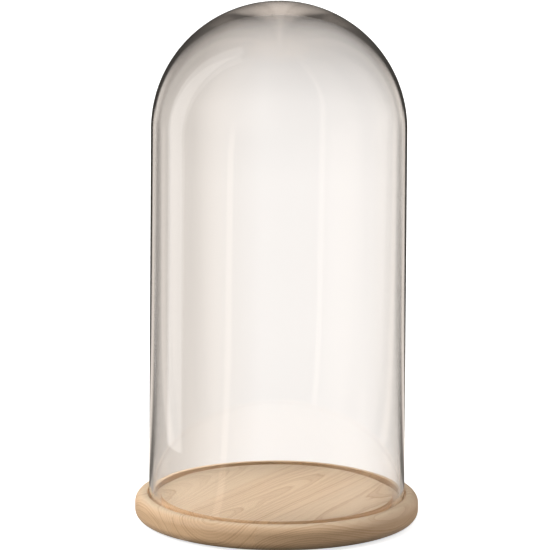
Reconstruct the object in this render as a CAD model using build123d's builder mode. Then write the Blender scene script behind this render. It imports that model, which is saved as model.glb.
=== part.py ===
"""Bell jar dome: a blown glass dome standing in the groove of a round wooden base.

Millimetres, +Z up. The origin is the centre of the circle on which the felt pads rest,
so the whole object stands on Z = 0. +Y runs from the front of the base to its back.
"""
from build123d import *
from math import asin, degrees
import os

# ---- Glass dome ----------------------------------------------------------------
dome_diameter = 252.5  # outside of the straight wall
dome_height = 500.0  # ground foot to the top of the crown
wall_thickness = 4.0  # straight wall
crown_thickness = 9.5  # at the very top, where the blown glass is thickest
crown_flattening = 18.0  # how much more radius the inside of the very top has than the bore
foot_rounding = 1.4  # flame-rounded edges of the foot

# ---- Turned wooden base --------------------------------------------------------
base_thickness = 25.4
dome_clearance = 1.4  # radial gap between the glass and the outer wall of the groove
groove_width = 13.3
groove_depth = 5.0
groove_edge_chamfer = 0.8  # the two top edges of the groove
groove_floor_rounding = 0.6  # the two corners at the bottom of the groove
rim_width = 12.35  # from the groove to the outside of the base
rim_rounding = 9.5  # round-over at the top and the bottom of the rim

# ---- Staves of the base: edge-glued boards, grain running the same way ---------
stave_width = 94.0  # the middle stave; the outer two reach to the rim
middle_stave_offset = -4.0  # of its centre line from the base's axis, across the grain
grain_angle = 60.0  # from +X, seen from above

# ---- Felt pads under the base --------------------------------------------------
pad_count = 4
pad_diameter = 22.0
pad_thickness = 2.0
pad_edge_rounding = 0.4
pad_inset = 15.0  # from the edge of the flat underside to the pad
first_pad_angle = 45.0  # from +X

# ---- What follows from them ----------------------------------------------------
dome_radius = dome_diameter / 2
groove_outer_radius = dome_radius + dome_clearance
groove_inner_radius = groove_outer_radius - groove_width
base_radius = groove_outer_radius + rim_width
base_bottom = pad_thickness
base_top = base_bottom + base_thickness
groove_floor = base_top - groove_depth
dome_inner_radius = dome_radius - wall_thickness
dome_top = groove_floor + dome_height
crown_start = dome_top - dome_radius  # where the straight wall turns into the crown
inner_crown_rise = dome_radius - crown_thickness  # from crown_start to the inside of the top
pad_circle_radius = base_radius - rim_rounding - pad_inset - pad_diameter / 2
grain_plane = Plane.XY.rotated((0, 0, grain_angle))  # its X is along the grain


def groove_corners(section, height):
    """The corners of the groove's section at one height."""
    corners = section.vertices().filter_by_position(Axis.Y, height, height)
    return corners.filter_by_position(Axis.X, groove_inner_radius, groove_outer_radius)


def base_section():
    """Half section of the turned base, from its axis to the rim, with the groove cut."""
    with BuildSketch(Plane.XZ) as section:
        with Locations((0, base_bottom)):
            Rectangle(base_radius, base_thickness, align=(Align.MIN, Align.MIN))
        rim_corners = section.vertices().group_by(Axis.X)[-1]
        fillet(rim_corners, radius=rim_rounding)
        with Locations((groove_inner_radius, base_top)):
            Rectangle(groove_width, groove_depth, align=(Align.MIN, Align.MAX), mode=Mode.SUBTRACT)
        fillet(groove_corners(section, groove_floor), radius=groove_floor_rounding)
        chamfer(groove_corners(section, base_top), length=groove_edge_chamfer)
    return section.sketch


def dome_section():
    """Half section of the glass: a straight wall under a half-round crown that thickens upwards.

    The inside of the crown is a knuckle, tangent to the bore, and a flatter dish, tangent to
    the knuckle, which meet where one line runs through both centres.
    """
    dish_radius = dome_inner_radius + crown_flattening
    knuckle_radius = (
        2 * inner_crown_rise * dish_radius - dome_inner_radius**2 - inner_crown_rise**2
    ) / (2 * crown_flattening)
    knuckle_centre = dome_inner_radius - knuckle_radius
    dish_angle = degrees(asin(knuckle_centre / (dish_radius - knuckle_radius)))
    dish_centre = crown_start + inner_crown_rise - dish_radius
    with BuildSketch(Plane.XZ) as section:
        with BuildLine():
            outer_crown = CenterArc((0, crown_start), dome_radius, 0, 90)
            outer_wall = Line(outer_crown @ 0, (dome_radius, groove_floor))
            foot = Line(outer_wall @ 1, (dome_inner_radius, groove_floor))
            Line(foot @ 1, (dome_inner_radius, crown_start))
            CenterArc((knuckle_centre, crown_start), knuckle_radius, 0, 90 - dish_angle)
            dish = CenterArc((0, dish_centre), dish_radius, 90 - dish_angle, dish_angle)
            Line(dish @ 1, outer_crown @ 1)
        make_face()
        foot_corners = section.vertices().group_by(Axis.Y)[0]
        fillet(foot_corners, radius=foot_rounding)
    return section.sketch


os.makedirs("parts", exist_ok=True)

# ---- Base staves, numbered from the right-hand side to the left ----------------
glue_joints = [
    -base_radius,
    middle_stave_offset - stave_width / 2,
    middle_stave_offset + stave_width / 2,
    base_radius,
]
for number, (low, high) in enumerate(zip(glue_joints, glue_joints[1:]), start=1):
    with BuildPart() as base_stave:
        add(base_section())
        revolve(axis=Axis.Z)
        with BuildSketch(grain_plane):
            with Locations((0, (low + high) / 2)):
                Rectangle(2 * base_radius, high - low)
        extrude(amount=base_top, mode=Mode.INTERSECT)
    base_stave.part.label = f"base_stave_{number}"
    export_step(base_stave.part, f"parts/{base_stave.part.label}.step")

# ---- Glass dome ----------------------------------------------------------------
with BuildPart() as glass_dome:
    add(dome_section())
    revolve(axis=Axis.Z)
glass_dome.part.label = "glass_dome"
export_step(glass_dome.part, "parts/glass_dome.step")

# ---- Felt pads, numbered anticlockwise from the back right ---------------------
pad_places = PolarLocations(pad_circle_radius, pad_count, start_angle=first_pad_angle)
for number, place in enumerate(pad_places, start=1):
    with BuildPart() as felt_pad:
        with BuildSketch(Plane(place.position)):
            Circle(pad_diameter / 2)
        extrude(amount=pad_thickness)
        lower_edge = felt_pad.edges().group_by(Axis.Z)[0]
        fillet(lower_edge, radius=pad_edge_rounding)
    felt_pad.part.label = f"felt_pad_{number}"
    export_step(felt_pad.part, f"parts/{felt_pad.part.label}.step")
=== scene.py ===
"""Bell jar dome: the looks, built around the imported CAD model.

Metres, in the CAD model's frame: +Z up, +Y from the front of the base to its back, the felt
pads resting on Z = 0. Each CAD node is replaced by a finer mesh of the same shape and place.
"""
from math import asin, cos, pi, radians, sin

import bmesh
import bpy
from mathutils import Matrix, Vector, noise

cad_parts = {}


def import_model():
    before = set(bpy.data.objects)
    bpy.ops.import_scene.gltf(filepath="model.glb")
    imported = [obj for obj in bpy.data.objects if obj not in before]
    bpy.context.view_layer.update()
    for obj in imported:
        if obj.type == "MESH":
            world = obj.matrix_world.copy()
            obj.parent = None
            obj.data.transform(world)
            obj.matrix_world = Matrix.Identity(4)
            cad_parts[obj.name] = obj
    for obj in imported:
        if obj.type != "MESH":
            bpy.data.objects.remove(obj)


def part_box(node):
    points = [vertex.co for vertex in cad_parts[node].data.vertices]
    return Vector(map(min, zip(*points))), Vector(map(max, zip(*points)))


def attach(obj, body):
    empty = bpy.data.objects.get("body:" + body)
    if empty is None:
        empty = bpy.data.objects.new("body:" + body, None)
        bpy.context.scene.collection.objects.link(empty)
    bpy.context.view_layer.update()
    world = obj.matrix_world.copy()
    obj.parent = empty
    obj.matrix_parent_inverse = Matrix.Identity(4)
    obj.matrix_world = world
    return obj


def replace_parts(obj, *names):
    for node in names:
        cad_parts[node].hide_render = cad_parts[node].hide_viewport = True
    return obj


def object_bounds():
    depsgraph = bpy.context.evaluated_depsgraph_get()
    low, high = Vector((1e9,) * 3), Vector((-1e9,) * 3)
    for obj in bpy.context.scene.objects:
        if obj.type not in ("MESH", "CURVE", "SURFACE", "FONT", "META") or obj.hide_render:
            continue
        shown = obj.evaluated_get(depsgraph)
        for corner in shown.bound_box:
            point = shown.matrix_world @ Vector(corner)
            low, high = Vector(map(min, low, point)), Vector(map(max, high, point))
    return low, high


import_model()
cad_low, cad_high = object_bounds()

# ---- Sizes of the CAD model that its boxes don't give ---------------------------
MM = 0.001
WALL = 4.0 * MM
CROWN = 9.5 * MM
CROWN_FLATTENING = 18.0 * MM
FOOT_ROUNDING = 1.4 * MM
DOME_CLEARANCE = 1.4 * MM
GROOVE_WIDTH = 13.3 * MM
GROOVE_DEPTH = 5.0 * MM
GROOVE_EDGE = 0.8 * MM
GROOVE_FLOOR_ROUNDING = 0.6 * MM
RIM_ROUNDING = 9.5 * MM
STAVE_WIDTH = 94.0 * MM
MIDDLE_STAVE_OFFSET = -4.0 * MM
GRAIN_ANGLE = radians(60)
PAD_EDGE = 0.4 * MM

# ---- Sizes and places that follow from the frame --------------------------------
STAVES = ["base_stave_1", "base_stave_2", "base_stave_3"]
PADS = ["felt_pad_1", "felt_pad_2", "felt_pad_3", "felt_pad_4"]
dome_low, dome_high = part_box("glass_dome")
dome_radius = (dome_high.x - dome_low.x) / 2
dome_inner_radius = dome_radius - WALL
crown_start = dome_high.z - dome_radius
base_bottom = min(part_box(node)[0].z for node in STAVES)
base_top = max(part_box(node)[1].z for node in STAVES)
base_radius = (cad_high.x - cad_low.x) / 2
groove_outer_radius = dome_radius + DOME_CLEARANCE
groove_inner_radius = groove_outer_radius - GROOVE_WIDTH
groove_floor = base_top - GROOVE_DEPTH
glue_joints = [
    MIDDLE_STAVE_OFFSET - STAVE_WIDTH / 2,
    MIDDLE_STAVE_OFFSET + STAVE_WIDTH / 2,
]

# ---- How fine the meshes are -----------------------------------------------------
DOME_SEGMENTS = 224
BASE_SEGMENTS = 288
PAD_SEGMENTS = 72
FLOOR_SEGMENTS = 96
ON_AXIS = 1e-7  # a point of a profile nearer to the axis than this is on it
SHARP_ANGLE = 35  # in degrees; a sharper edge isn't smoothed


# ---- Mesh helpers ---------------------------------------------------------------
def line(start, end, steps):
    """Points from start to end, without the last one."""
    start, end = Vector(start), Vector(end)
    return [start.lerp(end, i / steps) for i in range(steps)]


def arc(centre, radius, start, end, steps):
    """Points on an arc, angles in degrees from +r towards +z, without the last one."""
    angles = [radians(start + (end - start) * i / steps) for i in range(steps)]
    return [Vector((centre[0] + radius * cos(a), centre[1] + radius * sin(a))) for a in angles]


def turned(profile, segments):
    """A closed mesh: the profile of (radius, height) points, axis to axis, turned about Z."""
    mesh = bmesh.new()
    turns = [2 * pi * i / segments for i in range(segments)]
    rings = []
    for radius, height in profile:
        if radius < ON_AXIS:
            rings.append([mesh.verts.new((0, 0, height))] * segments)
        else:
            rings.append([mesh.verts.new((radius * cos(t), radius * sin(t), height)) for t in turns])
    for ring, above in zip(rings, rings[1:]):
        for i in range(segments):
            j = (i + 1) % segments
            corners = dict.fromkeys([ring[i], ring[j], above[j], above[i]])
            if len(corners) > 2:
                mesh.faces.new(list(corners))
    bmesh.ops.recalc_face_normals(mesh, faces=mesh.faces)
    return mesh


def placed(name, mesh, material):
    """The object of a bmesh, with its material."""
    data = bpy.data.meshes.new(name)
    mesh.to_mesh(data)
    mesh.free()
    data.materials.append(material)
    item = bpy.data.objects.new(name, data)
    bpy.context.scene.collection.objects.link(item)
    return item


def finished(name, mesh, material, body):
    """A piece of the object: smooth but for sharp edges, riding on a body."""
    piece = placed(name, mesh, material)
    piece.data.polygons.foreach_set("use_smooth", [True] * len(piece.data.polygons))
    piece.data.set_sharp_from_angle(angle=radians(SHARP_ANGLE))
    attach(piece, body)
    return piece


# ---- Material helpers -----------------------------------------------------------
class Nodes:
    """A node tree, with short ways to add and join nodes."""

    def __init__(self, tree):
        self.tree = tree

    def add(self, kind, settings=None, **inputs):
        node = self.tree.nodes.new(kind)
        for key, value in (settings or {}).items():
            setattr(node, key, value)
        for key, value in inputs.items():
            self.put(node.inputs[key.replace("_", " ")], value)
        return node

    def put(self, socket, value):
        if isinstance(value, bpy.types.NodeSocket):
            self.tree.links.new(value, socket)
        else:
            socket.default_value = value

    def math(self, operation, *values, clamp=False):
        node = self.add("ShaderNodeMath", {"operation": operation, "use_clamp": clamp})
        for socket, value in zip(node.inputs, values):
            self.put(socket, value)
        return node.outputs[0]

    def vector(self, operation, *values):
        node = self.add("ShaderNodeVectorMath", {"operation": operation})
        for socket, value in zip(node.inputs, values):
            self.put(socket, value)
        return node.outputs["Value"] if operation == "DOT_PRODUCT" else node.outputs[0]

    def centred(self, value, size):
        """A value from 0 to 1, moved to lie about 0 and made size wide."""
        return self.math("MULTIPLY", self.math("SUBTRACT", value, 0.5), size)

    def noise(self, place, stretch, detail=2.0, roughness=0.5):
        """Noise at a place, with stretch as its scale, or its scales along X, Y and Z."""
        scale = 1.0 if isinstance(stretch, tuple) else stretch
        if isinstance(stretch, tuple):
            place = self.vector("MULTIPLY", place, stretch)
        settings = {"Vector": place, "Scale": scale, "Detail": detail, "Roughness": roughness}
        return self.add("ShaderNodeTexNoise", **settings).outputs["Fac"]

    def ramp(self, factor, stops):
        """A colour ramp, its stops given as a position with a grey or a colour."""
        node = self.add("ShaderNodeValToRGB", Fac=factor)
        elements = node.color_ramp.elements
        while len(elements) < len(stops):
            elements.new(1.0)
        for element, (position, value) in zip(elements, stops):
            element.position = position
            element.color = (value, value, value, 1) if isinstance(value, float) else (*value, 1)
        return node.outputs["Color"]

    def fade(self, value, start, end):
        """0 up to start, 1 from end on, and smooth between them."""
        node = self.add("ShaderNodeMapRange", {"interpolation_type": "SMOOTHSTEP"}, Value=value)
        node.inputs["From Min"].default_value = start
        node.inputs["From Max"].default_value = end
        return node.outputs[0]

    def mix(self, factor, first, second, blend="MIX"):
        node = self.add("ShaderNodeMix", {"data_type": "RGBA", "blend_type": blend})
        self.put(node.inputs[0], factor)
        for socket, value in ((node.inputs[6], first), (node.inputs[7], second)):
            self.put(socket, (*value, 1) if isinstance(value, tuple) else value)
        return node.outputs[2]

    def over(self, under, colour, amount, share):
        """A colour laid over another, as strongly as share of an amount from 0 to 1."""
        return self.mix(self.math("MULTIPLY", amount, share), under, colour)

    def tinted(self, colour, tint):
        return self.mix(1.0, colour, tint, "MULTIPLY")

    def mixed_shader(self, factor, first, second):
        node = self.add("ShaderNodeMixShader")
        self.put(node.inputs[0], factor)
        self.put(node.inputs[1], first.outputs[0])
        self.put(node.inputs[2], second.outputs[0])
        return node


class MaterialNodes(Nodes):
    """The node tree of a new material."""

    def __init__(self, name):
        self.material = bpy.data.materials.new(name)
        self.material.use_nodes = True
        super().__init__(self.material.node_tree)
        self.tree.nodes.clear()
        self.output = self.add("ShaderNodeOutputMaterial")

    def made(self, shader):
        """The material, with this shader as its surface."""
        self.put(self.output.inputs["Surface"], shader.outputs[0])
        return self.material


# ---- Glass ----------------------------------------------------------------------
GLASS_ABSORPTION = (0.86, 0.775, 0.70, 1)  # a warm grey, which shows where the glass is deep
GLASS_DENSITY = 20.0
GLASS_IOR = 1.5
WAVES_PER_METRE = 14
WAVES_UPWARD = 0.5  # as a share of those round the glass
OUTSIDE_WAVE = 0.05 * MM
INSIDE_WAVE = 0.22 * MM
OUTSIDE_WAVE_SHIFT = Vector((3.1, 0.7, 5.3))  # so that the two surfaces wave differently


def clear_glass():
    nodes = MaterialNodes("clear_glass")
    shader = nodes.add("ShaderNodeBsdfPrincipled", Roughness=0.0, IOR=GLASS_IOR)
    shader.inputs["Base Color"].default_value = (1, 1, 1, 1)
    shader.inputs["Transmission Weight"].default_value = 1.0
    volume = nodes.add("ShaderNodeVolumeAbsorption", Color=GLASS_ABSORPTION, Density=GLASS_DENSITY)
    nodes.put(nodes.output.inputs["Volume"], volume.outputs[0])
    return nodes.made(shader)


def dome_profile():
    """The section of the glass, from the top of the crown down the outside and up the inside."""
    foot, start = dome_low.z, crown_start
    outer, inner, round_ = dome_radius, dome_inner_radius, FOOT_ROUNDING
    rise = outer - CROWN
    dish = inner + CROWN_FLATTENING
    knuckle = (2 * rise * dish - inner**2 - rise**2) / (2 * CROWN_FLATTENING)
    knuckle_at = inner - knuckle
    turn = 90 - asin(knuckle_at / (dish - knuckle)) * 180 / pi
    points = arc((0, start), outer, 90, 0, 60)
    points += line((outer, start), (outer, foot + round_), 48)
    points += arc((outer - round_, foot + round_), round_, 0, -90, 6)
    points += line((outer - round_, foot), (inner + round_, foot), 2)
    points += arc((inner + round_, foot + round_), round_, -90, -180, 6)
    points += line((inner, foot + round_), (inner, start), 48)
    points += arc((knuckle_at, start), knuckle, 0, turn, 48)
    points += arc((0, start + rise - dish), dish, turn, 90, 12)
    points.append(Vector((0, start + rise)))
    points[0].x = 0
    return points


def wave(mesh):
    """Makes the glass wave a little, the inside more than the outside, as blown glass does."""
    for vert in mesh.verts:
        out = Vector((vert.co.x, vert.co.y, max(vert.co.z - crown_start, 0)))
        if out.length < 1e-6 or vert.co.z < dome_low.z + 2 * FOOT_ROUNDING:
            continue
        outside = out.length > dome_radius - 0.5 * WALL
        size = OUTSIDE_WAVE if outside else INSIDE_WAVE
        place = Vector((vert.co.x, vert.co.y, WAVES_UPWARD * vert.co.z)) * WAVES_PER_METRE
        place += OUTSIDE_WAVE_SHIFT * outside
        vert.co += out.normalized() * size * noise.noise(place)


def glass_dome():
    """Blown glass: a turned shell with slight waves."""
    mesh = turned(dome_profile(), DOME_SEGMENTS)
    wave(mesh)
    dome = finished("dome_glass", mesh, clear_glass(), "dome")
    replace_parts(dome, "glass_dome")


# ---- Shape of the wooden base ----------------------------------------------------
def base_profile():
    """The section of the turned base, from the axis under it, round the rim, to the axis on top."""
    low, high, out, round_ = base_bottom, base_top, base_radius, RIM_ROUNDING
    edge, floor_, corner = GROOVE_EDGE, groove_floor, GROOVE_FLOOR_ROUNDING
    outer, inner = groove_outer_radius, groove_inner_radius
    points = [Vector((0, low)), Vector((0.5 * out, low))]
    points += arc((out - round_, low + round_), round_, -90, 0, 16)
    points += line((out, low + round_), (out, high - round_), 3)
    points += arc((out - round_, high - round_), round_, 0, 90, 16)
    points.append(Vector((out - round_, high)))
    points += arc((outer + edge, high - edge), edge, 90, 180, 5)
    points.append(Vector((outer, high - edge)))
    points += arc((outer - corner, floor_ + corner), corner, 0, -90, 4)
    points.append(Vector((outer - corner, floor_)))
    points += arc((inner + corner, floor_ + corner), corner, -90, -180, 4)
    points.append(Vector((inner, floor_ + corner)))
    points += arc((inner - edge, high - edge), edge, 0, 90, 5)
    points += [Vector((inner - edge, high)), Vector((0.5 * out, high)), Vector((0, high))]
    return points


def cut(mesh, offset, keep_above):
    """Cuts a mesh at a plane along the grain, offset across it, and closes the cut."""
    across = Vector((-sin(GRAIN_ANGLE), cos(GRAIN_ANGLE), 0))
    bmesh.ops.bisect_plane(
        mesh,
        geom=mesh.verts[:] + mesh.edges[:] + mesh.faces[:],
        dist=1e-7,
        plane_co=across * offset,
        plane_no=across,
        clear_inner=keep_above,
        clear_outer=not keep_above,
    )
    rim = [edge for edge in mesh.edges if edge.is_boundary]
    filled = bmesh.ops.edgenet_fill(mesh, edges=rim)["faces"]
    bmesh.ops.triangulate(mesh, faces=filled)


# ---- Wood -----------------------------------------------------------------------
# how dark a growth ring is, from its inside to its outside
RING_PROFILE = [
    (0.0, 0.20), (0.06, 0.0), (0.50, 0.10), (0.57, 0.70),
    (0.66, 0.32), (0.85, 0.50), (0.94, 1.0), (1.0, 0.20),
]
RING_DRIFT = 11.0 * MM
RING_WAVER = 1.6 * MM
DRIFT_ACROSS = 0.6  # share of the drift that moves the rings sideways as well
RING_LUCK_POWER = 1.3  # above 1, more of the rings are weak than strong
WEAKEST_RING = 0.15
SEED_STEPS = (1.0, 0.7, 0.3)  # how far a seed of 1 moves the noise, in metres
SEED_RINGS = 7.3  # and how far it moves the rings' numbers
END_GRAIN_EDGES = (0.25, 0.9)  # how squarely the surface faces along the grain
# noise scales per metre, along the grain and twice across it
DRIFT_SCALE = (5.0, 14.0, 14.0)
WAVER_SCALE = (22.0, 90.0, 90.0)
CLOUD_SCALE = (7.0, 30.0, 30.0)
STREAK_SCALE = (9.0, 240.0, 240.0)
FIBRE_SCALE = (30.0, 1500.0, 1500.0)
PORE_SCALE = (60.0, 2600.0, 2600.0)
END_PORE_SCALE = (400.0, 1800.0, 1800.0)
# colours, and how strongly each covers what is under it
CLOUD_SHADE = 0.93
STREAK_COLOUR = (0.66, 0.46, 0.28)
STREAK_SHARE = 0.30
LATEWOOD_COLOUR = (0.47, 0.25, 0.105)
FIBRE_COLOUR = (0.62, 0.45, 0.30)
FIBRE_SHARE = 0.22
PORE_COLOUR = (0.36, 0.23, 0.14)
PORE_SHARE = 0.10
END_TINT = (0.80, 0.68, 0.56)
END_LATEWOOD_COLOUR = (0.30, 0.14, 0.06)
END_LATEWOOD_SHARE = 0.75
END_PORE_COLOUR = (0.22, 0.12, 0.06)
END_PORE_SHARE = 0.22
# painted shade: upright faces of the base, round its rim, are painted darker and redder than level ones
RIM_PAINTED_SHADE_TINT = (1.0, 0.82, 0.67)
RIM_PAINTED_SHADE_SHARE = [(0.0, 0.75), (0.6, 0.5), (1.0, 0.0)]  # from an upright surface to a level one
PORES = [(0.0, 0.0), (0.60, 0.0), (0.68, 1.0)]
STREAKS = [(0.0, 0.0), (0.45, 0.0), (0.75, 1.0)]
END_PORES = [(0.0, 0.0), (0.54, 0.0), (0.66, 1.0)]
# relief of the surface, and its roughness
RELIEF_DEPTH = 0.12 * MM
RELIEF_STRENGTH = 0.35
LATEWOOD_RELIEF = 0.5
FIBRE_RELIEF = 0.5
PORE_RELIEF = 0.6
SMOOTHEST = 0.40
FIBRE_ROUGHNESS = 0.16

# Each stave, right to left: its heart, ring spacing, strength of the latewood, tint and seed.
# The heart is where the middle of the tree passes the base's axis, across the grain and above
# Z = 0, and how fast it rises along the grain.
WOODS = [
    ((-96.0 * MM, -34.0 * MM, 0.05), 2.2 * MM, 0.75, (0.80, 0.62, 0.43), 1.7),
    ((-2.5 * MM, 54.0 * MM, 0.035), 3.0 * MM, 1.25, (0.82, 0.63, 0.43), 4.2),
    ((90.0 * MM, -30.0 * MM, -0.06), 2.2 * MM, 0.65, (0.84, 0.66, 0.46), 8.9),
]


def grain_place(nodes, seed):
    """Where a point is along and across the grain: its three axes, and a place for noise."""
    place = nodes.add("ShaderNodeTexCoord").outputs["Object"]
    rotate = nodes.add("ShaderNodeVectorRotate", {"rotation_type": "Z_AXIS"}, Vector=place)
    rotate.inputs["Angle"].default_value = -GRAIN_ANGLE
    axes = nodes.add("ShaderNodeSeparateXYZ", Vector=rotate.outputs[0])
    grain = nodes.vector("ADD", rotate.outputs[0], tuple(seed * step for step in SEED_STEPS))
    return axes.outputs, grain


def ring_radius(nodes, axes, grain, heart):
    """How far a point is from the heart of the tree, with slow and quick unevenness."""
    drift = nodes.centred(nodes.noise(grain, DRIFT_SCALE, detail=1.0), RING_DRIFT)
    waver = nodes.centred(nodes.noise(grain, WAVER_SCALE), RING_WAVER)
    across = nodes.math("SUBTRACT", axes[1], heart[0])
    across = nodes.math("ADD", across, nodes.math("MULTIPLY", drift, DRIFT_ACROSS))
    rise = nodes.math("MULTIPLY", axes[0], heart[2])
    height = nodes.math("SUBTRACT", nodes.math("SUBTRACT", axes[2], heart[1]), rise)
    square = nodes.math("ADD", nodes.math("POWER", across, 2.0), nodes.math("POWER", height, 2.0))
    return nodes.math("ADD", nodes.math("SQRT", square), nodes.math("ADD", drift, waver))


def latewood(nodes, radius, ring, seed):
    """How dark the growth rings make a point, each ring with its own strength."""
    rings = nodes.math("DIVIDE", radius, ring)
    dark = nodes.ramp(nodes.math("FRACT", rings), RING_PROFILE)
    number = nodes.math("ADD", nodes.math("FLOOR", rings), seed * SEED_RINGS)
    luck = nodes.add("ShaderNodeTexWhiteNoise", {"noise_dimensions": "1D"}, W=number)
    luck = nodes.math("POWER", luck.outputs["Value"], RING_LUCK_POWER)
    luck = nodes.math("MULTIPLY_ADD", luck, 1 - WEAKEST_RING, WEAKEST_RING)
    return nodes.math("MULTIPLY", dark, luck)


def side_grain_colour(nodes, grain, late, fibre, pores, strength, tint):
    """The colour of a surface that runs along the grain."""
    cloud = nodes.noise(grain, CLOUD_SCALE)
    streak = nodes.noise(grain, STREAK_SCALE, detail=3.0, roughness=0.6)
    pale = nodes.mix(cloud, tint, tuple(CLOUD_SHADE * c for c in tint))
    side = nodes.over(pale, STREAK_COLOUR, nodes.ramp(streak, STREAKS), STREAK_SHARE)
    side = nodes.over(side, LATEWOOD_COLOUR, late, strength)
    side = nodes.over(side, FIBRE_COLOUR, fibre, FIBRE_SHARE)
    return nodes.over(side, PORE_COLOUR, pores, PORE_SHARE)


def end_grain_colour(nodes, grain, late, tint):
    """The colour of a surface that is cut across the grain."""
    pores = nodes.ramp(nodes.noise(grain, END_PORE_SCALE, detail=1.0), END_PORES)
    pale = tuple(c * f for c, f in zip(tint, END_TINT))
    end = nodes.over(pale, END_LATEWOOD_COLOUR, late, END_LATEWOOD_SHARE)
    return nodes.over(end, END_PORE_COLOUR, pores, END_PORE_SHARE)


def wood(name, heart, ring, strength, tint, seed):
    """Pale wood with growth rings about a heart that runs nearly along the grain."""
    nodes = MaterialNodes(name)
    axes, grain = grain_place(nodes, seed)
    late = latewood(nodes, ring_radius(nodes, axes, grain, heart), ring, seed)
    fibre = nodes.noise(grain, FIBRE_SCALE, detail=3.0, roughness=0.65)
    pores = nodes.ramp(nodes.noise(grain, PORE_SCALE, detail=1.0), PORES)

    side = side_grain_colour(nodes, grain, late, fibre, pores, strength, tint)
    normal = nodes.add("ShaderNodeNewGeometry").outputs["Normal"]
    level = nodes.math("ABSOLUTE", nodes.add("ShaderNodeSeparateXYZ", Vector=normal).outputs[2])
    # painted shade: upright faces are tinted darker and redder than level ones
    side = nodes.mix(nodes.ramp(level, RIM_PAINTED_SHADE_SHARE), side, nodes.tinted(side, RIM_PAINTED_SHADE_TINT))
    along = nodes.vector("DOT_PRODUCT", normal, (cos(GRAIN_ANGLE), sin(GRAIN_ANGLE), 0))
    end_share = nodes.fade(nodes.math("ABSOLUTE", along), *END_GRAIN_EDGES)
    colour = nodes.mix(end_share, side, end_grain_colour(nodes, grain, late, tint))

    relief = nodes.math("MULTIPLY", late, LATEWOOD_RELIEF)
    relief = nodes.math("ADD", relief, nodes.math("MULTIPLY", fibre, FIBRE_RELIEF))
    relief = nodes.math("SUBTRACT", relief, nodes.math("MULTIPLY", pores, PORE_RELIEF))
    bump = nodes.add("ShaderNodeBump", Strength=RELIEF_STRENGTH, Distance=RELIEF_DEPTH, Height=relief)
    rough = nodes.math("MULTIPLY_ADD", fibre, FIBRE_ROUGHNESS, SMOOTHEST)
    shader = nodes.add("ShaderNodeBsdfPrincipled", Base_Color=colour, Roughness=rough)
    nodes.put(shader.inputs["Normal"], bump.outputs[0])
    return nodes.made(shader)


def base_staves():
    """The turned base, cut into three staves at its glue joints."""
    for number, node in enumerate(STAVES):
        mesh = turned(base_profile(), BASE_SEGMENTS)
        if number > 0:
            cut(mesh, glue_joints[number - 1], keep_above=True)
        if number < len(STAVES) - 1:
            cut(mesh, glue_joints[number], keep_above=False)
        name = node.replace("base_stave", "wood_stave")
        material = wood(name, *WOODS[number])
        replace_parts(finished(name, mesh, material, "base"), node)


# ---- Felt pads ------------------------------------------------------------------
FELT_COLOUR = (0.58, 0.52, 0.43)
FELT_BLOTCH_COLOUR = (0.66, 0.62, 0.55)
FELT_SHADE = 0.7  # between the fibres
RAGGEDNESS = 0.25 * MM
RAGS_PER_METRE = 900


def felt():
    nodes = MaterialNodes("felt")
    place = nodes.add("ShaderNodeTexCoord").outputs["Object"]
    fuzz = nodes.noise(place, 2200.0, detail=4.0, roughness=0.7)
    blotch = nodes.noise(place, 260.0)
    colour = nodes.mix(fuzz, tuple(FELT_SHADE * c for c in FELT_COLOUR), FELT_COLOUR)
    colour = nodes.over(colour, FELT_BLOTCH_COLOUR, blotch, 0.25)
    bump = nodes.add("ShaderNodeBump", Strength=0.8, Distance=0.3 * MM, Height=fuzz)
    shader = nodes.add("ShaderNodeBsdfPrincipled", Base_Color=colour, Roughness=0.95)
    nodes.put(shader.inputs["Normal"], bump.outputs[0])
    shader.inputs["Sheen Weight"].default_value = 0.3
    return nodes.made(shader)


def pad_profile(low, high, radius):
    """The section of a pad, from the axis under it to the axis on top."""
    edge = PAD_EDGE
    points = [Vector((0, low))] + line((0.5 * radius, low), (radius - edge, low), 3)
    points += arc((radius - edge, low + edge), edge, -90, 0, 4)
    points += line((radius, low + edge), (radius, high), 4)
    return points + [Vector((radius, high)), Vector((0, high))]


def felt_pads():
    """Pressed felt discs: rounded, with a slightly ragged cut edge."""
    material = felt()
    for node in PADS:
        low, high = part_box(node)
        radius = (high.x - low.x) / 2
        centre = (low + high) / 2
        mesh = turned(pad_profile(low.z, high.z, radius), PAD_SEGMENTS)
        for vert in mesh.verts:
            out = Vector((vert.co.x, vert.co.y, 0))
            if out.length > 0.9 * radius:
                rag = abs(noise.noise((vert.co + centre) * RAGS_PER_METRE))
                vert.co -= out.normalized() * RAGGEDNESS * rag
        bmesh.ops.translate(mesh, vec=(centre.x, centre.y, 0), verts=mesh.verts)
        name = node.replace("felt_pad", "felt_disc")
        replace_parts(finished(name, mesh, material, "base"), node)


# ---- Stage: sizes and levels -------------------------------------------------------
FLOOR_RADIUS = 3.0
FLOOR_COLOUR = (0.80, 0.80, 0.79)
FLOOR_GLOW = 0.70  # what the floor shines by itself to the camera, so that it ends in white
FLOOR_BOUNCE = 0.16  # how pale the floor is to the light that it throws back at the object
WHITE = (1.0, 1.0, 1.0)

# The card stands behind the dome, and gives the shading that is seen through the glass.
CARD_DISTANCE = 0.45
CARD_WIDTH = 0.44
CARD_HEIGHT = 0.66
THROUGH_GLASS = (1.115, 1.085, 1.06)  # a background that reads as near-white behind the glass
# how bright the card is from left to right, and from the floor up
CARD_ACROSS = [
    (0.0, (0.68, 0.655, 0.625)), (0.28, (0.76, 0.735, 0.705)), (0.34, (0.88, 0.86, 0.835)),
    (0.46, 1.0), (0.60, 0.985), (0.75, 0.98), (1.0, (0.95, 0.925, 0.89)),
]
CARD_UPWARD = [
    (0.0, 1.0), (0.12, 1.02), (0.36, 1.02), (0.46, 0.955), (0.50, 0.92), (0.54, 0.84),
    (0.57, 0.79), (0.60, 0.72), (0.62, 0.68), (0.66, 0.64), (0.72, 0.60), (0.80, 0.54), (1.0, 0.50),
]
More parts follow.
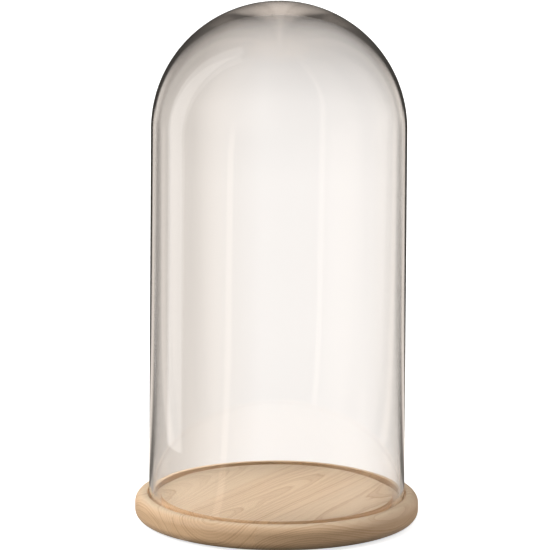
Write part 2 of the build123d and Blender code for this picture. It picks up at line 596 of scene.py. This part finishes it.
# where the floor takes the card's shading from left to right: by distance back, and to the side
FLOOR_SHADED_BACK = [(0.0, 0.0), (0.12, 1.0), (CARD_DISTANCE, 1.0), (0.55, 0.0)]
FLOOR_SHADED_SIDE = [(0.0, 1.0), (0.16, 1.0), (0.40, 0.0)]

# The sky's brightness, against how squarely a direction faces the key or the fill light.
KEY_DIRECTION = Vector((-0.75, -0.30, 0.60)).normalized()
KEY_LOBE = [(0.0, 0.24), (0.5, 0.50), (0.82, 0.8), (0.90, 2.5), (1.0, 3.9)]
FILL_DIRECTION = Vector((0.85, 0.45, 0.35)).normalized()
FILL_LOBE = [(0.0, 0.0), (0.7, 0.0), (0.90, 1.4), (1.0, 1.6)]
INSIDE_BOOST = 2.25  # makes up for the light that the renderer loses through the glass

# What the glass mirrors: a room round it, with one thin bright strip, and the sky over it.
MIRRORED_TINT = (1.0, 0.91, 0.83)
IN_WALL_LEVEL = 0.8  # of the room, where the glass's near wall mirrors it on its inside
# how bright the room is, from its -Y side to its +Y side
ROOM_AROUND = [
    (0.00, 0.06), (0.10, 0.12), (0.20, 0.42), (0.39, 0.45), (0.44, 0.25), (0.50, 0.25),
    (0.56, 0.25), (0.61, 0.48), (0.79, 0.55), (0.82, 0.20), (0.875, 0.20), (0.91, 0.85),
    (0.9425, 0.95), (0.96, 0.06), (1.0, 0.06),
]
STRIP_BEARING = radians(137)  # from +Y towards -X
STRIP_DIRECTION = Vector((-sin(STRIP_BEARING), cos(STRIP_BEARING), 0))
STRIP_EDGES = (cos(radians(3.2)), cos(radians(2.2)))
STRIP_LEVEL = (1.9, 1.9, 1.9)
STRIP_SHARE = 0.42
MIRRORED_SKY = [(0.0, 0.12), (0.25, 0.14), (0.5, 0.30), (0.8, 0.6), (1.0, 0.7)]
SKY_FROM = [(0.0, 0.0), (0.3, 1.0)]  # from the room, at the horizon, to the sky
CROWN_STREAK_DIRECTION = (0, 1, 0)
CROWN_STREAK_EDGES = (cos(radians(3.8)), cos(radians(0.8)))
CROWN_STREAK_LEVEL = (0.75, 0.75, 0.75)
CROWN_STREAK_SHARE = 0.9

SOFTBOX_PLACE = (-0.36, 0.013, 0.60)
SOFTBOX_TARGET = (0, 0.013, 0.60)
SOFTBOX_WIDTH = 0.122
SOFTBOX_HEIGHT = 1.16
SOFTBOX_POWER = 0.46

CAMERA_ELEVATION = radians(13.5)
CAMERA_ROLL = radians(0.39)
CAMERA_DISTANCE = 16.0
CAMERA_TARGET = Vector((-0.0031, 0, 0.2483))
CAMERA_SENSOR = 36
CAMERA_CLIP = 100
FRAME_SIZE = 0.5422  # how wide the view is at the target


# ---- Stage helpers ------------------------------------------------------------------
def ray_kinds(nodes):
    """What each kind of ray is, as sockets that hold 1 or 0."""
    rays = nodes.add("ShaderNodeLightPath")
    depth = rays.outputs["Transmission Depth"]
    lighting = nodes.math("GREATER_THAN", rays.outputs["Diffuse Depth"], 0.5)
    mirrored = nodes.math("GREATER_THAN", rays.outputs["Glossy Depth"], 0.5)
    mirrored = nodes.math("SUBTRACT", mirrored, lighting, clamp=True)
    crossed = nodes.math("GREATER_THAN", depth, 0.5)
    straight = nodes.math("SUBTRACT", crossed, nodes.math("MAXIMUM", lighting, mirrored), clamp=True)
    through_walls = nodes.math("GREATER_THAN", depth, 3.5)
    return {
        "direct": rays.outputs["Is Camera Ray"],
        "lighting": lighting,  # lights a surface
        "inside": nodes.math("MULTIPLY", lighting, through_walls),  # lights what is seen under the glass
        "mirrored": mirrored,  # mirrored by the glass
        "in_wall": nodes.math("COMPARE", depth, 2.0, 0.5),  # went in and out of one wall
        "straight": straight,  # went straight through the glass
    }


def bearing(nodes, place):
    """The horizontal direction of a place or direction, one long."""
    return nodes.vector("NORMALIZE", nodes.vector("MULTIPLY", place, (1.0, 1.0, 0.0)))


def facing(nodes, vector, direction):
    """How squarely a vector faces a direction, from -1 to 1."""
    return nodes.vector("DOT_PRODUCT", vector, direction)


def mirrored_room(nodes, place, in_wall):
    """What the glass mirrors near the horizon: panels round the object, and one thin strip."""
    flat = bearing(nodes, place)
    behind = nodes.math("MULTIPLY_ADD", facing(nodes, flat, (0, 1, 0)), 0.5, 0.5)
    level = nodes.ramp(behind, ROOM_AROUND)
    strip = nodes.fade(facing(nodes, flat, STRIP_DIRECTION), *STRIP_EDGES)
    level = nodes.over(level, STRIP_LEVEL, strip, STRIP_SHARE)
    level = nodes.mix(in_wall, level, nodes.tinted(level, (IN_WALL_LEVEL,) * 3))
    return nodes.tinted(level, MIRRORED_TINT)


def mirrored_sky(nodes, place):
    """What the glass mirrors overhead: a soft sky, and a streak right behind the crown."""
    sky = nodes.ramp(facing(nodes, place, KEY_DIRECTION), MIRRORED_SKY)
    streak = nodes.fade(facing(nodes, bearing(nodes, place), CROWN_STREAK_DIRECTION), *CROWN_STREAK_EDGES)
    return nodes.tinted(nodes.over(sky, CROWN_STREAK_LEVEL, streak, CROWN_STREAK_SHARE), MIRRORED_TINT)


def sky_light(nodes, place, inside):
    """The sky's light on a surface: a soft key from the upper left and a fill from the right."""
    key = nodes.ramp(facing(nodes, place, KEY_DIRECTION), KEY_LOBE)
    fill = nodes.ramp(facing(nodes, place, FILL_DIRECTION), FILL_LOBE)
    soft = nodes.mix(1.0, key, fill, "ADD")
    return nodes.mix(inside, soft, nodes.tinted(soft, (INSIDE_BOOST,) * 3))


def card_across(nodes, axes):
    """The card's shading from left to right."""
    side = nodes.math("MULTIPLY_ADD", axes.outputs[0], 1 / CARD_WIDTH, 0.5)
    return nodes.ramp(side, CARD_ACROSS)


# ---- Stage ----------------------------------------------------------------------------
def floor():
    """A pale floor that takes soft shadows and is bright enough to end in white."""
    nodes = MaterialNodes("floor")
    place = nodes.add("ShaderNodeTexCoord").outputs["Object"]
    axes = nodes.add("ShaderNodeSeparateXYZ", Vector=place)
    rays = ray_kinds(nodes)
    colour = nodes.mix(rays["lighting"], FLOOR_COLOUR, (FLOOR_BOUNCE,) * 3)
    lit = nodes.add("ShaderNodeBsdfDiffuse", Color=colour)
    glow = nodes.add("ShaderNodeEmission", Color=(*WHITE, 1))
    nodes.put(glow.inputs["Strength"], nodes.math("MULTIPLY", rays["direct"], FLOOR_GLOW))
    both = nodes.add("ShaderNodeAddShader")
    nodes.put(both.inputs[0], lit.outputs[0])
    nodes.put(both.inputs[1], glow.outputs[0])

    back = nodes.ramp(axes.outputs[1], FLOOR_SHADED_BACK)
    beside = nodes.ramp(nodes.math("ABSOLUTE", axes.outputs[0]), FLOOR_SHADED_SIDE)
    shaded = nodes.mix(nodes.math("MULTIPLY", back, beside), WHITE, card_across(nodes, axes))
    shaded = nodes.tinted(shaded, THROUGH_GLASS)
    room = mirrored_room(nodes, place, rays["in_wall"])
    seen = nodes.add("ShaderNodeEmission", Color=nodes.mix(rays["straight"], room, shaded))
    by_glass = nodes.math("MAXIMUM", rays["straight"], rays["mirrored"])
    material = nodes.made(nodes.mixed_shader(by_glass, both, seen))
    disc = turned([Vector((0, 0)), Vector((FLOOR_RADIUS, 0))], FLOOR_SEGMENTS)
    placed("floor", disc, material)


def card():
    """A graded card behind the dome, seen only by rays that went straight through glass."""
    nodes = MaterialNodes("card")
    place = nodes.add("ShaderNodeTexCoord").outputs["Object"]
    axes = nodes.add("ShaderNodeSeparateXYZ", Vector=place)
    upward = nodes.ramp(nodes.math("DIVIDE", axes.outputs[2], CARD_HEIGHT), CARD_UPWARD)
    colour = nodes.mix(1.0, card_across(nodes, axes), upward, "MULTIPLY")
    glow = nodes.add("ShaderNodeEmission", Color=nodes.tinted(colour, THROUGH_GLASS))
    clear = nodes.add("ShaderNodeBsdfTransparent")
    material = nodes.made(nodes.mixed_shader(ray_kinds(nodes)["straight"], clear, glow))
    mesh = bmesh.new()
    half = CARD_WIDTH / 2
    corners = [(-half, 0), (half, 0), (half, CARD_HEIGHT), (-half, CARD_HEIGHT)]
    mesh.faces.new([mesh.verts.new((x, CARD_DISTANCE, z)) for x, z in corners])
    item = placed("card", mesh, material)
    item.visible_camera = False
    item.visible_diffuse = False
    item.visible_glossy = False
    item.visible_shadow = False


def softbox():
    """A tall light on the left, which the near wall of the glass mirrors as an upright band.

    The camera doesn't see it, and neither does the far wall of the glass.
    """
    data = bpy.data.lights.new("softbox_left", "AREA")
    data.shape = "RECTANGLE"
    data.size = SOFTBOX_WIDTH
    data.size_y = SOFTBOX_HEIGHT
    data.energy = SOFTBOX_POWER
    item = bpy.data.objects.new("softbox_left", data)
    item.location = SOFTBOX_PLACE
    look = Vector(SOFTBOX_TARGET) - Vector(SOFTBOX_PLACE)
    item.rotation_euler = look.to_track_quat("-Z", "Y").to_euler()
    item.visible_camera = False
    bpy.context.scene.collection.objects.link(item)
    data.use_nodes = True
    nodes = Nodes(data.node_tree)
    emission = next(node for node in nodes.tree.nodes if node.type == "EMISSION")
    rays = nodes.add("ShaderNodeLightPath")
    shown = nodes.math("LESS_THAN", rays.outputs["Transmission Depth"], 2.5)
    nodes.put(emission.inputs["Strength"], nodes.math("MAXIMUM", shown, rays.outputs["Diffuse Depth"]))


def world():
    """White to the camera, near-white through glass, a soft sky to surfaces, a room to mirrors."""
    scene = bpy.context.scene
    scene.view_settings.view_transform = "Standard"
    scene.world = bpy.data.worlds.new("studio")
    scene.world.use_nodes = True
    nodes = Nodes(scene.world.node_tree)
    nodes.tree.nodes.clear()
    place = nodes.add("ShaderNodeTexCoord").outputs["Generated"]
    rays = ray_kinds(nodes)
    level = nodes.add("ShaderNodeSeparateXYZ", Vector=place).outputs[2]
    room = mirrored_room(nodes, place, rays["in_wall"])
    mirrored = nodes.mix(nodes.ramp(level, SKY_FROM), room, mirrored_sky(nodes, place))
    colour = nodes.mix(rays["mirrored"], sky_light(nodes, place, rays["inside"]), mirrored)
    colour = nodes.mix(rays["straight"], colour, THROUGH_GLASS)
    colour = nodes.mix(rays["direct"], colour, WHITE)
    sky = nodes.add("ShaderNodeBackground", Color=colour)
    output = nodes.add("ShaderNodeOutputWorld")
    nodes.put(output.inputs["Surface"], sky.outputs[0])


def camera():
    """Far away and a little above, as a long lens sees it."""
    data = bpy.data.cameras.new("camera")
    data.sensor_width = CAMERA_SENSOR
    data.lens = CAMERA_SENSOR * CAMERA_DISTANCE / FRAME_SIZE
    data.clip_end = CAMERA_CLIP
    item = bpy.data.objects.new("camera", data)
    away = Vector((0, -cos(CAMERA_ELEVATION), sin(CAMERA_ELEVATION)))
    item.location = CAMERA_TARGET + CAMERA_DISTANCE * away
    look = (CAMERA_TARGET - item.location).to_track_quat("-Z", "Y").to_matrix()
    item.rotation_euler = (look @ Matrix.Rotation(CAMERA_ROLL, 3, "Z")).to_euler()
    bpy.context.scene.collection.objects.link(item)
    bpy.context.scene.camera = item


glass_dome()
base_staves()
felt_pads()
floor()
card()
softbox()
world()
camera()
